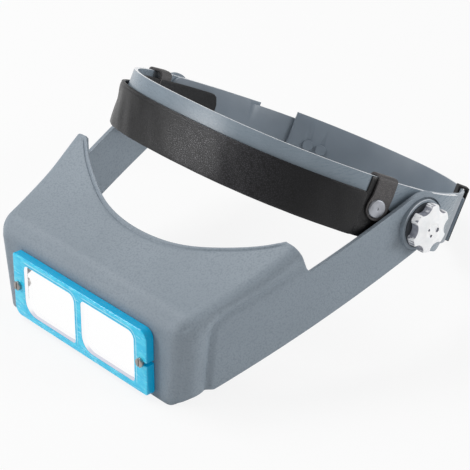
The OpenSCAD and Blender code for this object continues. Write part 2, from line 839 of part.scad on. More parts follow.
visor();
lens_plate();
left_lens();
right_lens();
plate_screws();
plate_nuts();
front_band();
left_strap();
right_strap();
strap_keeper();
size_studs();
comfort_band();
snap_caps();
snap_posts();
left_pivot_bolt();
right_pivot_bolt();
left_spacer();
right_spacer();
left_clamp_washer();
right_clamp_washer();
left_knob();
right_knob();
left_knob_insert();
right_knob_insert();
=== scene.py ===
"""A headband magnifier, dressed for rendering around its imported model."""

import math

import bpy
from mathutils import Matrix, Vector


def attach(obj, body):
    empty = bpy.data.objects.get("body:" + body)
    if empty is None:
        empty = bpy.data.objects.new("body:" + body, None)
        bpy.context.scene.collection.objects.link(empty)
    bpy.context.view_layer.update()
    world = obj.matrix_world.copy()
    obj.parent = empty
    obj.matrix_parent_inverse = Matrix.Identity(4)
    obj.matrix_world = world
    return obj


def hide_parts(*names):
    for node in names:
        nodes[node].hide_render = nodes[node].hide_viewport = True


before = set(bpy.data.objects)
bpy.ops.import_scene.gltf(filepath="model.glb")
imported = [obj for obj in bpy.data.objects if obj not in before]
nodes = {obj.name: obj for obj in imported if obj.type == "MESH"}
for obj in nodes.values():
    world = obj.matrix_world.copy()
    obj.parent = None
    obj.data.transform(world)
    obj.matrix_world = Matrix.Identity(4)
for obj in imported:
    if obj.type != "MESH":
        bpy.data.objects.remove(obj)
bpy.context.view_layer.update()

# Sizes are in millimetres from the pivots until a piece is finished
MM = 0.001
PIVOT = Vector((0.0, 18.966, 62.5))
RING_TILT = math.radians(29.144)
# The lens plate and its windows: corner radii run from the lower left one round
PLATE_Z = -42.25
PLATE_FRONT = -141.2
PLATE_BACK = -136.15
PLATE_HALF = (52.7, 17.85)
PLATE_CORNERS = (5.0, 1.6, 5.0, 1.8)
LENS_MIDDLE = 23.0
LENS_HALF = (20.5, 14.0)
LENS_CORNERS = (8.0, 2.2, 4.2, 3.0)
SCREW_X = 48.5
SCREW_HOLE_R = 1.35
SCREW_FORWARD = 1.5
SLOT_HALF = 1.0
PLATE_CUT = (-144.0, -134.0)


# Colour and number helpers


def srgb(red, green, blue):
    """A colour picked from a screen, as the linear colour that the shaders use."""
    def linear(level):
        level /= 255.0
        if level <= 0.04045:
            return level / 12.92
        return ((level + 0.055) / 1.055) ** 2.4
    return (linear(red), linear(green), linear(blue), 1.0)


def mix(low, high, share):
    """The number that lies that share of the way from low to high."""
    return low + (high - low) * share


def clamp(value):
    return min(1.0, max(0.0, value))


def smooth(value):
    """0 up to 0 and 1 from 1 on, with a soft start and end in between."""
    value = clamp(value)
    return value * value * (3.0 - 2.0 * value)


def bell(value, middle, width):
    """1 at the middle, falling away to 0 on either side."""
    return math.exp(-((value - middle) / width) ** 2)


# Selecting and finishing pieces


def deselect():
    """Leaves edit mode and selects nothing."""
    if bpy.context.object and bpy.context.object.mode != "OBJECT":
        bpy.ops.object.mode_set(mode="OBJECT")
    bpy.ops.object.select_all(action="DESELECT")


def pick(piece, *others):
    """Makes a piece the active one, with any others selected beside it."""
    deselect()
    for each in others:
        each.select_set(True)
    piece.select_set(True)
    bpy.context.view_layer.objects.active = piece


def edit(piece, everything=False):
    """Opens a piece in edit mode, with all of it selected or none."""
    pick(piece)
    bpy.ops.object.mode_set(mode="EDIT")
    bpy.ops.mesh.select_all(action="SELECT" if everything else "DESELECT")


def leave():
    """Closes edit mode, which writes what has changed to the mesh."""
    bpy.ops.object.mode_set(mode="OBJECT")


def choose(piece, mode, test):
    """Selects edges by a test on both ends, or faces by one on their middle and normal."""
    edit(piece)
    bpy.ops.mesh.select_mode(type=mode)
    leave()
    mesh = piece.data
    if mode == "EDGE":
        for line in mesh.edges:
            line.select = test(*(mesh.vertices[i].co for i in line.vertices))
    else:
        for face in mesh.polygons:
            face.select = test(face.center, face.normal)
    bpy.ops.object.mode_set(mode="EDIT")


def shape(piece, place):
    """Moves every vertex of a piece to where place() says."""
    for vertex in piece.data.vertices:
        vertex.co = place(vertex.co)
    piece.data.update()


def modify(piece, kind, **settings):
    """Adds a modifier to a piece and applies it."""
    pick(piece)
    added = piece.modifiers.new(kind.title(), kind)
    for key, value in settings.items():
        setattr(added, key, value)
    bpy.ops.object.modifier_apply(modifier=added.name)


def round_off(piece, width, steps, degrees):
    """Rounds the edges of a piece that are sharper than that."""
    modify(piece, "BEVEL", width=width, segments=steps, limit_method="ANGLE",
           angle_limit=math.radians(degrees), use_clamp_overlap=True)


def cut(piece, cutter, operation="DIFFERENCE"):
    """Cuts a piece with another one, or joins them, and removes the other."""
    modify(piece, "BOOLEAN", object=cutter, operation=operation, solver="EXACT")
    bpy.data.objects.remove(cutter)


def outward(piece):
    """Merges a piece's doubles and turns its faces outwards."""
    edit(piece, everything=True)
    bpy.ops.mesh.remove_doubles(threshold=0.0005)
    bpy.ops.mesh.normals_make_consistent(inside=False)
    leave()


def soften(piece, degrees):
    """Shades a piece smooth, apart from edges sharper than that."""
    pick(piece)
    bpy.ops.object.shade_smooth_by_angle(angle=math.radians(degrees))


def rename(piece, name):
    """Names a piece and its mesh alike."""
    piece.name = name
    piece.data.name = name
    return piece


def settle(piece, body, stands_for, material, tipped=False):
    """Turns a finished piece from millimetres at the pivots into its place on the part."""
    turn = Matrix.Rotation(-RING_TILT, 4, "X") if tipped else Matrix.Identity(4)
    piece.data.transform(Matrix.Scale(MM, 4) @ Matrix.Translation(PIVOT) @ turn)
    piece.data.update()
    dress(piece, material)
    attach(piece, body)
    if stands_for:
        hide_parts(*stands_for)


def dress(piece, material):
    """Gives a piece one material."""
    piece.data.materials.clear()
    piece.data.materials.append(material)


# Shader maths: arithmetic on a value adds the nodes that work it out


class Value:
    """A socket that a number comes out of, for use in arithmetic."""

    def __init__(self, finish, socket):
        self.finish = finish
        self.socket = socket

    def maths(self, operation, other=0.0):
        return self.finish.node("Math", {"operation": operation}, {0: self, 1: other})

    def __add__(self, other):
        return self.maths("ADD", other)

    __radd__ = __add__

    def __sub__(self, other):
        return self.maths("SUBTRACT", other)

    def __rsub__(self, other):
        return self.finish.node("Math", {"operation": "SUBTRACT"}, {0: other, 1: self})

    def __mul__(self, other):
        return self.maths("MULTIPLY", other)

    __rmul__ = __mul__

    def __truediv__(self, other):
        return self.maths("DIVIDE", other)

    def __pow__(self, other):
        return self.maths("POWER", other)

    def size(self):
        """The value without its sign."""
        return self.maths("ABSOLUTE")

    def larger(self, other):
        return self.maths("MAXIMUM", other)

    def between(self, low, high):
        """0 below low, 1 above high, and smooth in between."""
        return self.finish.node("MapRange", {"interpolation_type": "SMOOTHSTEP"},
                                {"Value": self, "From Min": low, "From Max": high})


class Finish:
    """One material, with the method that adds its nodes."""

    def __init__(self, name):
        self.material = bpy.data.materials.new(name)
        self.material.use_nodes = True
        self.tree = self.material.node_tree
        self.tree.nodes.clear()
        self.place = self.node("TexCoord", output="Object")

    def node(self, kind, settings=(), inputs=(), output=0):
        """Adds a node with its settings and its inputs' values or links."""
        made = self.tree.nodes.new("ShaderNode" + kind)
        for key, value in dict(settings).items():
            setattr(made, key, value)
        for key, value in dict(inputs).items():
            if isinstance(value, Value):
                self.tree.links.new(value.socket, made.inputs[key])
            else:
                made.inputs[key].default_value = value
        return Value(self, made.outputs[output])

    def facing(self, direction):
        """1 where the surface squarely faces a direction, down to -1 where it faces away."""
        normal = self.node("NewGeometry", output="Normal")
        return self.node("VectorMath", {"operation": "DOT_PRODUCT"}, {0: normal, 1: direction},
                         "Value")

    def split(self):
        """The place on the piece as its x, y and z."""
        outputs = self.node("SeparateXYZ", (), {0: self.place}).socket.node.outputs
        return [Value(self, outputs[axis]) for axis in range(3)]

    def noise(self, size, detail=3.0, roughness=0.5, stretch=None):
        """Noise whose lumps are about that many millimetres across."""
        place = self.place
        if stretch:
            place = self.node("Mapping", (), {"Vector": place, "Scale": stretch})
        return self.node("TexNoise", (), {"Vector": place, "Scale": 1.0 / (size * MM),
                                          "Detail": detail, "Roughness": roughness})

    def cells(self, size, feature, sway):
        """Pebbles about that many millimetres across, pushed out of line by the sway."""
        wave = self.node("TexNoise", (), {"Vector": self.place, "Scale": 0.7 / (size * MM),
                                          "Detail": 2.0}, "Color")
        swayed = self.node("VectorMath", {"operation": "MULTIPLY_ADD"},
                           {0: wave, 1: (sway * MM,) * 3, 2: self.place})
        return self.node("TexVoronoi", {"feature": feature},
                         {"Vector": swayed, "Scale": 1.0 / (size * MM)})

    def blend(self, share, low, high):
        """A colour between two others."""
        return self.node("Mix", {"data_type": "RGBA"}, {0: share, 6: low, 7: high}, 2)

    def bump(self, height, depth):
        """Relief of that many millimetres where the height goes from 0 to 1."""
        return self.node("Bump", (), {"Height": height, "Distance": depth * MM, "Strength": 1.0})

    def surface(self, **inputs):
        """The plain shader, its inputs named in small letters."""
        names = {key.replace("_", " ").title().replace("Ior", "IOR"): value
                 for key, value in inputs.items()}
        return self.node("BsdfPrincipled", (), names)

    def done(self, shader):
        out = self.tree.nodes.new("ShaderNodeOutputMaterial")
        self.tree.links.new(shader.socket, out.inputs["Surface"])
        return self.material


# Finishes


def grained_plastic():
    """Blue-grey moulding with the fine leather-like grain of its mould."""
    finish = Finish("grained_plastic")
    pebbles = finish.cells(0.82, "SMOOTH_F1", 0.5)
    fine = finish.noise(0.3, 2.0)
    wide = finish.noise(38.0, 2.0)
    height = 1.0 - pebbles + fine * 0.2
    tone = finish.blend(wide.between(0.3, 0.7), srgb(138, 149, 159), srgb(143, 154, 164))
    pits = finish.blend(pebbles.between(0.3, 0.75), tone, srgb(131, 142, 152))
    # Painted highlight: the arms' upper outer edges, where light would catch them, are painted pale
    along = finish.split()[1].between((PIVOT.y - 74.0) * MM, (PIVOT.y - 60.0) * MM)
    right_edge = finish.facing((0.7, -0.2, 0.68)).between(0.78, 0.92)
    left_edge = finish.facing((-0.7, -0.2, 0.68)).between(0.78, 0.92)
    painted_edge_highlight = along * right_edge.larger(left_edge)
    pits = finish.blend(painted_edge_highlight * 0.8, pits, srgb(214, 219, 226))
    return finish.done(finish.surface(
        base_color=pits, roughness=0.5 + pebbles * 0.12,
        normal=finish.bump(height, 0.07), specular_ior_level=0.42))


def satin_plastic(name, light, dark, roughness, edge):
    """Smooth moulding, faintly mottled, scuffed in its roughness, with a painted highlight along
    its upper edge.
    """
    finish = Finish(name)
    wide = finish.noise(24.0, 3.0)
    fine = finish.noise(0.5, 3.0)
    rubs = finish.noise(5.0, 5.0, 0.7, (1.0, 1.0, 5.0))
    tone = finish.blend(wide.between(0.3, 0.7), light, dark)
    # Painted highlight: faces turned up along the ring's axis take the pale edge colour
    painted_top_highlight = finish.facing((0.0, math.sin(RING_TILT), math.cos(RING_TILT))).between(0.15, 0.45)
    return finish.done(finish.surface(
        base_color=finish.blend(painted_top_highlight, tone, edge), roughness=roughness + (rubs - 0.5) * 0.16,
        normal=finish.bump(fine, 0.008), specular_ior_level=0.5))


def soft_leather(name, light, dark, roughness, grain, crease):
    """Dark polished leather with a fine pebbled grain."""
    finish = Finish(name)
    pebbles = finish.cells(0.95, "DISTANCE_TO_EDGE", 0.7)
    fine = finish.noise(0.35, 3.0)
    wide = finish.noise(17.0, 3.0)
    folds = finish.noise(7.0, 3.0, 0.5, (1.0, 1.0, 0.35))
    ridge = pebbles.between(0.0, 0.3)
    height = ridge + fine * 0.2 + folds * 3.0
    tone = finish.blend(wide.between(0.3, 0.7), dark, light)
    # Painted sheen: the right half of the front is painted paler, as a broad reflection
    x = finish.split()[0]
    painted_sheen = x.between(-12.0 * MM, 14.0 * MM) * (1.0 - x.between(40.0 * MM, 74.0 * MM))
    painted_sheen = painted_sheen * (folds * 0.7 + 0.35)
    tone = finish.blend(painted_sheen, tone, srgb(66, 65, 70))
    grain_and_sheen = finish.blend(ridge, crease, tone)
    return finish.done(finish.surface(
        base_color=grain_and_sheen, roughness=roughness + (1.0 - ridge) * 0.12 + wide * 0.08,
        normal=finish.bump(height, grain), specular_ior_level=0.4))


def metal(name, colour, roughness, brushed=(1.0, 1.0, 1.0)):
    """Bare metal with a faint mottle and fine lines, stretched where it is brushed."""
    finish = Finish(name)
    lines = finish.noise(0.6, 4.0, 0.6, brushed)
    wide = finish.noise(6.0, 2.0)
    dull = tuple(level * 0.72 for level in colour[:3]) + (1.0,)
    tone = finish.blend(wide.between(0.35, 0.75), colour, dull)
    return finish.done(finish.surface(
        base_color=tone, metallic=1.0, roughness=roughness + lines * 0.12,
        normal=finish.bump(lines, 0.012)))


def tinted_acrylic():
    """Clear blue plastic, deeper at its edges, with a painted reflection of the windows' walls and
    a painted glow.
    """
    finish = Finish("tinted_acrylic")
    flow = finish.noise(6.0, 4.0, 0.6, (1.0, 1.0, 2.2))
    streaks = finish.noise(2.2, 4.0, 0.65, (0.35, 1.0, 1.6))
    fine = finish.noise(1.6, 3.0)
    x, _, z = finish.split()
    # Steps out from each window's upper right edges, where a painted reflection of its far wall
    # shows as a pale and a dark line
    corner = LENS_CORNERS[2]
    out_x = x - x.maths("SIGN") * (LENS_MIDDLE * MM) - (LENS_HALF[0] - corner) * MM
    out_z = z - (PIVOT.z + PLATE_Z + LENS_HALF[1] - corner) * MM
    past_x = out_x.larger(0.0)
    past_z = out_z.larger(0.0)
    gap = (past_x * past_x + past_z * past_z) ** 0.5 / MM - corner
    beside, below = (out.between((3.0 - 2 * half) * MM, (8.0 - 2 * half) * MM)
                     for out, half in zip((out_x, out_z), LENS_HALF))
    wall = beside * below * (flow * 0.6 + 0.5)
    bright = (1.0 - (gap - 1.5).size().between(0.1, 0.6)) * wall
    dark = (1.0 - (gap - 0.8).size().between(0.05, 0.4)) * wall
    tone = finish.blend(flow.between(0.35, 0.7), srgb(46, 196, 232), srgb(92, 222, 244))
    lit = finish.blend(streaks.between(0.56, 0.68), tone, srgb(150, 230, 248))
    lined = finish.blend(bright, finish.blend(dark, lit, srgb(20, 150, 200)), srgb(178, 238, 250))
    front = finish.facing((0.0, -1.0, 0.0)).between(0.3, 0.8)
    # The emission is a painted glow, standing in for light passing through the plastic
    return finish.done(finish.surface(
        base_color=finish.blend(front, srgb(0, 160, 204), lined), roughness=0.12 + fine * 0.1,
        ior=1.49, transmission_weight=0.12, normal=finish.bump(fine, 0.02),
        emission_color=srgb(0, 165, 205), emission_strength=0.22))


def clear_lens():
    """Clear glass whose rim faces glow pale as painted light, bluer along its upper and lower sides
    as a painted reflection.
    """
    finish = Finish("clear_lens")
    wipe = finish.noise(7.0, 3.0)
    glass = finish.surface(base_color=(1.0, 1.0, 1.0, 1.0), roughness=0.01 + wipe * 0.02,
                           ior=1.45, transmission_weight=1.0)
    across = finish.facing((0.0, 1.0, 0.0))
    upright = finish.facing((0.0, 0.0, 1.0))
    rim = 1.0 - (across * across).between(0.1, 0.5)
    level = (upright * upright).between(0.4, 0.9)
    # Painted light: the rim faces glow instead of showing the glass
    painted_rim_glow = finish.node("Emission", (), {
        "Color": finish.blend(level, srgb(250, 250, 252), srgb(212, 213, 226)), "Strength": 1.0})
    return finish.done(finish.node("MixShader", (), {0: rim, 1: glass, 2: painted_rim_glow}))


def clear_knob():
    """Clear pressed plastic: face and lobe ends painted white with a faint glow as a painted
    highlight, sides a painted grey where it shows its depth.
    """
    finish = Finish("clear_knob")
    cloud = finish.noise(3.0, 3.0)
    streaks = finish.noise(1.6, 2.0, 0.5, (0.3, 1.0, 1.0))
    face = finish.facing((1.0, 0.0, 0.0))
    flat = (face * face).between(0.4, 0.8)
    off_axis = finish.node("VectorMath", {"operation": "MULTIPLY_ADD"}, {
        0: finish.place, 1: (0.0, 1.0, 1.0), 2: (0.0, -PIVOT.y * MM, -PIVOT.z * MM)})
    reach = finish.node("VectorMath", {"operation": "LENGTH"}, {0: off_axis}, "Value")
    ends = reach.between(11.2 * MM, 12.0 * MM) * streaks.between(0.38, 0.5)
    pale = flat.larger(ends)
    deep = finish.blend(cloud.between(0.3, 0.7), srgb(128, 130, 142), srgb(168, 171, 182))
    # Painted highlight: the face and lobe ends are painted near white and glow faintly
    painted_pale_face = finish.blend(cloud.between(0.3, 0.7), srgb(243, 245, 247), srgb(252, 252, 253))
    return finish.done(finish.surface(
        base_color=finish.blend(pale, deep, painted_pale_face), roughness=0.14 + cloud * 0.1, ior=1.46,
        transmission_weight=0.12, normal=finish.bump(cloud, 0.02), emission_strength=0.1,
        emission_color=finish.blend(pale, srgb(0, 0, 0), srgb(252, 252, 253))))


def dull_rubber(name, colour):
    """Black rubber or plastic without a shine, a little dusty."""
    finish = Finish(name)
    fine = finish.noise(0.6, 3.0)
    wide = finish.noise(8.0, 3.0)
    pale = tuple(level * 1.6 + 0.004 for level in colour[:3]) + (1.0,)
    tone = finish.blend(wide.between(0.35, 0.7), colour, pale)
    return finish.done(finish.surface(
        base_color=tone, roughness=0.6 + fine * 0.2, normal=finish.bump(fine, 0.02)))


visor_finish = grained_plastic()
# The last colour of each satin finish is the painted highlight along its upper edge
band_finish = satin_plastic("band_plastic", srgb(134, 147, 158), srgb(126, 139, 150), 0.28,
                            srgb(238, 241, 245))
strap_finish = satin_plastic("strap_plastic", srgb(126, 137, 148), srgb(118, 129, 140), 0.4,
                             srgb(166, 176, 186))
spacer_finish = satin_plastic("spacer_plastic", srgb(110, 116, 124), srgb(96, 102, 110), 0.5,
                              srgb(120, 126, 134))
keeper_finish = dull_rubber("keeper_plastic", srgb(18, 18, 20))
washer_finish = dull_rubber("washer_rubber", srgb(58, 62, 68))
leather_finish = soft_leather("band_leather", srgb(25, 25, 28), srgb(19, 19, 22), 0.27, 0.035,
                              srgb(12, 12, 14))
tab_finish = soft_leather("tab_leather", srgb(92, 89, 89), srgb(80, 78, 79), 0.42, 0.03,
                          srgb(70, 68, 69))
snap_finish = metal("snap_steel", srgb(170, 173, 180), 0.3)
bolt_finish = metal("bolt_steel", srgb(190, 190, 192), 0.32, (6.0, 1.0, 1.0))
screw_finish = metal("screw_steel", srgb(172, 168, 164), 0.3)
insert_finish = metal("insert_brass", srgb(205, 178, 120), 0.35)
plate_finish = tinted_acrylic()
lens_finish = clear_lens()
knob_finish = clear_knob()


# The visor: one moulded sheet, bent over the hood and along both arms

HOOD_FRONT = 136.0
HOOD_STEP = 1.2
HOOD_FLARE = 3.8
FOOT_TUCK = 1.1
HOOD_R = 9.0
VISOR_T = 2.0
ARM_IN_X = 93.39
ARM_OUT_X = ARM_IN_X + VISOR_T
ARM_BOW_R = 640.0
ARM_SPLAY = math.radians(5.0)
BOW = (ARM_OUT_X - ARM_BOW_R * math.cos(ARM_SPLAY), ARM_BOW_R * math.sin(ARM_SPLAY))
ARM_H = 29.8
ARM_LIFT = 1.9
ARM_DROP = math.radians(19.8)
ARM_END_POWER = 2.2
HORN_X = 76.5
HORN_Y = -73.0
HORN_Z = 9.3
CUTOUT_FRONT = 101.5
CUTOUT_R = 116.92
HORN_DROP = 15.2
HORN_EDGE_R = 6.5
NOTCH_Y = -66.0
FOOT_Z = -62.5
CORNER_RISE = 5.6
SIDE_RISE = 6.6
# The pivots' bosses, and the window in the hood's front wall
BOSS_R = 13.4
BOSS_H = 3.3
BOSS_GROOVE_R = 14.3
BOSS_FLAT_R = 16.4
BOLT_HOLE_R = 2.56
WINDOW_HALF = (46.2, 16.2)
WINDOW_CORNERS = (6.0, 2.0, 5.0, 1.5)
WALL_CUT = (-140.0, -130.0)


def arm_x(y):
    """Half width over the arms' outer faces."""
    return BOW[0] + math.sqrt(ARM_BOW_R ** 2 - (y - BOW[1]) ** 2)


def arm_top(y):
    """Height of the arms' straight upper edge."""
    return (ARM_LIFT + ARM_H / 2) / math.cos(ARM_DROP) + y * math.tan(ARM_DROP)


def arm_low(y):
    return (ARM_LIFT - ARM_H / 2) / math.cos(ARM_DROP) + y * math.tan(ARM_DROP)


def circle_through(a, b, c):
    """Centre and radius of the circle through three points."""
    d = 2 * (a[0] * (b[1] - c[1]) + b[0] * (c[1] - a[1]) + c[0] * (a[1] - b[1]))
    squares = [p[0] ** 2 + p[1] ** 2 for p in (a, b, c)]
    x = (squares[0] * (b[1] - c[1]) + squares[1] * (c[1] - a[1])
         + squares[2] * (a[1] - b[1])) / d
    y = (squares[0] * (c[0] - b[0]) + squares[1] * (a[0] - c[0])
         + squares[2] * (b[0] - a[0])) / d
    return x, y, math.hypot(a[0] - x, a[1] - y)


HOOD_ARC = circle_through((-HOOD_FRONT, -15.0), (-CUTOUT_FRONT, -4.5), (HORN_Y, HORN_Z))


def hood_z(y):
    """Height of the hood's top, an arc from its front edge back to the horns."""
    return HOOD_ARC[1] - math.sqrt(HOOD_ARC[2] ** 2 - (y - HOOD_ARC[0]) ** 2)


def hood_half(y, z):
    """Half width of the hood, wider towards the top of its front."""
    flare = HOOD_FLARE * max(0.0, HORN_Y - y) / (HOOD_FRONT + HORN_Y)
    share = min(1.0, (z - FOOT_Z) / (hood_z(y) - HOOD_R - FOOT_Z))
    return arm_x(y) + HOOD_STEP + mix(-FOOT_TUCK, flare, share)


def rear_y(z):
    """Rear edge of the hood's sides, from a horn's tip down to the notch."""
    share = clamp((HORN_Z - z) / HORN_DROP)
    return mix(HORN_Y, NOTCH_Y, 0.65 * share + 0.35 * share ** 2)


def rim_y(x):
    """The forehead cutout's rim, a circle drawn back a little towards the horns."""
    across = min(abs(x), HORN_X)
    circle = CUTOUT_R - CUTOUT_FRONT - math.sqrt(CUTOUT_R ** 2 - across ** 2)
    return circle + 1.3 * bell(across, 52.0, 18.0)


def edge_r(y):
    """Radius of the edge between the hood's top and sides, tighter at the horns."""
    return mix(HOOD_R, HORN_EDGE_R, smooth((y + 100.0) / 27.0))


# The crease between hood and arm in side view, from the foot up and back
CREASE = [(-121.4, -66.0), (-120.8, -52.0), (-119.7, -38.0), (-118.8, -28.0), (-117.9, -23.4),
          (-116.4, -20.4), (-114.0, -18.0), (-110.5, -16.2), (-100.0, -12.6), (-89.6, -9.3),
          (-78.0, -5.4), (-70.0, -3.6), (-60.0, -2.0)]
CREASE_W = 9.0
CREASE_RISE = 3.5


def past_crease(y, z):
    """Distance from the crease, above zero on the arm's side."""
    best = None
    for a, b in zip(CREASE, CREASE[1:]):
        run = (b[0] - a[0], b[1] - a[1])
        length = math.hypot(*run)
        along = clamp(((y - a[0]) * run[0] + (z - a[1]) * run[1]) / length ** 2)
        gap = math.hypot(y - a[0] - run[0] * along, z - a[1] - run[1] * along)
        side = run[1] * (y - a[0]) - run[0] * (z - a[1])
        if best is None or gap < best[0]:
            best = (gap, side)
    return math.copysign(best[0], best[1])


def spread(stops, counts):
    """Positions between stops, with that many steps in each stretch."""
    result = [stops[0]]
    for low, high, count in zip(stops, stops[1:], counts):
        result += [mix(low, high, i / count) for i in range(1, count + 1)]
    return result


# Steps of the hood's grid: across, fore and aft, and up
STEPS = 56
ACROSS = spread([-1.0, -0.86, 0.86, 1.0], [10, 36, 10])
AFT = spread([0.0, 0.13, 0.19, 0.31, 0.945, 0.984, 1.0], [9, 3, 10, 24, 9, 1])
RISE = spread([0.0, 1.0, 1.35, 2.0], [26, 10, 20])


def split_z(y):
    """Height of the row that carries on as the arms' upper edge."""
    return mix(-21.0, arm_top(y), smooth((y + 112.0) / 46.0))


def hood_low(x, y):
    """Lower edge of the hood: on the table in front, rising round the corners and back."""
    corner_x = max(0.0, abs(x) - hood_half(y, FOOT_Z) + HOOD_R)
    corner_y = max(0.0, HOOD_R - HOOD_FRONT - y)
    if y < HOOD_R - HOOD_FRONT:
        round_corner = math.degrees(math.atan2(corner_x, corner_y)) if corner_x else 0.0
        return FOOT_Z + CORNER_RISE * smooth((round_corner - 15.0) / 75.0)
    share = min(1.0, (y + HOOD_FRONT - HOOD_R) / 8.0)
    return max(arm_low(y), FOOT_Z + mix(CORNER_RISE, SIDE_RISE, share))


def rim_bead(x, run):
    """Height of the bead along the forehead cutout's rim, with a fine groove inside it."""
    fade = 1.0 - smooth((abs(x) - HORN_X + 3.0) / 6.0)
    return fade * (0.3 * smooth((1.35 - run) / 0.5) - 0.6 * bell(run, 1.7, 0.42))


def draw_to_arm(spot):
    """Dips a point of the hood's side to the crease and brings it up again as the arm."""
    gap = past_crease(spot.y, spot.z)
    near = clamp(gap / CREASE_W + 1.0) ** 2.2
    dip = mix(1.8, 1.1, smooth((spot.z + 58.0) / 40.0)) * (1.0 - smooth(gap / CREASE_RISE))
    fade = 1.0 - smooth((spot.y + 76.0) / 9.0)
    step = max(0.0, abs(spot.x) - arm_x(spot.y))
    spot.x -= math.copysign((step + dip * fade) * near, spot.x)


def hood_place(u, v, w, on_side):
    """Where a point of the hood's grid goes, its edges rounded."""
    rear = NOTCH_Y if w <= 1.0 else HORN_Y
    for _ in range(3):
        y = mix(-HOOD_FRONT, rear, v)
        radius = edge_r(y)
        if w <= 1.0:
            z = mix(FOOT_Z, split_z(y), w)
            x = hood_half(y, z) * u
            z = mix(hood_low(x, y), split_z(y), w)
        else:
            z = mix(split_z(y), hood_z(y), w - 1.0)
        half = hood_half(y, z)
        x = half * u
        # How far the rounded edge between top and side brings this point down
        over_x = max(0.0, abs(x) - half + radius)
        over_z = max(0.0, z - hood_z(y) + radius)
        down = radius
        if over_x or over_z:
            down = radius * over_z / math.hypot(over_x, over_z)
        end_z = min(z, hood_z(y) - radius + down)
        if on_side or abs(x) > HORN_X:
            rear = rear_y(end_z)
        else:
            rear = rim_y(x)
    top = hood_z(y)
    if w >= 2.0 and not on_side:
        z += rim_bead(x, (1.0 - v) * (rear + HOOD_FRONT))
        top = max(top, z)
    inner_x = max(-half + radius, min(half - radius, x))
    inner_y = max(-HOOD_FRONT + radius, y)
    inner_z = min(top - radius, z)
    inner = Vector((inner_x, inner_y, inner_z))
    away = Vector((x, y, z)) - inner
    if away.length > radius * 0.9:
        away = away.normalized() * min(radius, away.length)
    spot = inner + away
    if on_side and spot.y > -HOOD_FRONT + HOOD_R:
        draw_to_arm(spot)
    return spot


def arm_end(y):
    """Lower and upper edge of an arm, with its end round below and fuller above."""
    middle = (-ARM_LIFT * math.sin(ARM_DROP), ARM_LIFT * math.cos(ARM_DROP))
    low, high = arm_low(y), arm_top(y)
    half, off = ARM_H / 2, y - middle[0]
    if off > half * math.sin(ARM_DROP):
        low = middle[1] - math.sqrt(max(0.0, half ** 2 - off ** 2))
    if off > -half * math.sin(ARM_DROP):
        under, over = middle[1], high
        for _ in range(30):
            high = (under + over) / 2
            rise = high - middle[1]
            along = max(0.0, off * math.cos(ARM_DROP) + rise * math.sin(ARM_DROP)) / half
            across = max(0.0, rise * math.cos(ARM_DROP) - off * math.sin(ARM_DROP)) / half
            if along ** ARM_END_POWER + across ** ARM_END_POWER > 1.0:
                over = high
            else:
                under = high
    return low, max(low, high)


def visor_sheet():
    """The hood as an open box of one sheet, its grid bent to shape."""
    bpy.ops.mesh.primitive_cube_add(size=2.0)
    piece = rename(bpy.context.object, "visor_shell")
    edit(piece, everything=True)
    bpy.ops.mesh.subdivide(number_cuts=STEPS - 1)
    leave()
    choose(piece, "FACE", lambda at, normal: normal.z < -0.5 or normal.y > 0.5)
    bpy.ops.mesh.delete(type="FACE")
    leave()

    def place(at):
        step = [round((level + 1.0) / 2.0 * STEPS) for level in at]
        return hood_place(ACROSS[step[0]], AFT[step[1]], RISE[step[2]], step[0] in (0, STEPS))
    shape(piece, place)
    return piece


def add_arms(piece):
    """Draws both arms out of the hood's rear edges."""
    columns = [-64.0, -61.0, -56.0, -49.0, -42.0, -35.0, -28.0, -21.0, -14.0, -8.0, -4.0, -1.0,
               2.0, 4.6, 6.8, 8.6, 10.2, 11.6, 12.7, 13.5]
    limit = split_z(NOTCH_Y) + 0.05
    choose(piece, "EDGE", lambda a, b: abs(a.y - NOTCH_Y) < 0.02 and abs(b.y - NOTCH_Y) < 0.02
           and abs(a.x) > 80 and max(a.z, b.z) < limit)
    leave()
    rows = [v.co.z for v in piece.data.vertices if v.select]
    last_edge = (min(rows), max(rows))
    bpy.ops.object.mode_set(mode="EDIT")
    last = NOTCH_Y
    for y in columns:
        bpy.ops.mesh.extrude_region_move(TRANSFORM_OT_translate={"value": (0, y - last, 0)})
        leave()
        edge = arm_end(y)
        for vertex in piece.data.vertices:
            if vertex.select:
                share = (vertex.co.z - last_edge[0]) / (last_edge[1] - last_edge[0])
                vertex.co = (math.copysign(arm_x(y), vertex.co.x), y, mix(edge[0], edge[1], share))
        bpy.ops.object.mode_set(mode="EDIT")
        last = y
        last_edge = edge
    leave()


def disc(radius, start, end, name, rounding=0.0, vertices=96):
    """A cylinder along X at the right pivot, from one station to another."""
    bpy.ops.mesh.primitive_cylinder_add(
        vertices=vertices, radius=radius, depth=end - start,
        location=((start + end) / 2, 0, 0), rotation=(0, math.pi / 2, 0))
    piece = rename(bpy.context.object, name)
    bpy.ops.object.transform_apply(location=True, rotation=True, scale=True)
    if rounding:
        round_off(piece, rounding, 4, 60)
    return piece


def block(low, high, name="block", corners=()):
    """A block between two corners; its upright edges, from the lower left one round, get radii."""
    size = Vector(high) - Vector(low)
    bpy.ops.mesh.primitive_cube_add(size=1.0, location=(Vector(high) + Vector(low)) / 2)
    piece = rename(bpy.context.object, name)
    piece.scale = size
    bpy.ops.object.transform_apply(location=True, rotation=True, scale=True)
    spots = ((low[0], low[2]), (high[0], low[2]), (high[0], high[2]), (low[0], high[2]))
    for radius, spot in zip(corners, spots):
        choose(piece, "EDGE", lambda a, b: abs((a - b).y) > size.y * 0.9
               and math.hypot(a.x - spot[0], a.z - spot[1]) < 0.01)
        bpy.ops.mesh.bevel(offset=radius, segments=8)
        leave()
    return piece


def screw_hole(side, start):
    """A cutter for one plate screw's hole, from a station on back."""
    hole = disc(SCREW_HOLE_R, 0.0, 12.0, "screw_hole", vertices=32)
    hole.data.transform(Matrix.Translation((side * SCREW_X, start, PLATE_Z))
                        @ Matrix.Rotation(math.pi / 2, 4, "Z"))
    return hole


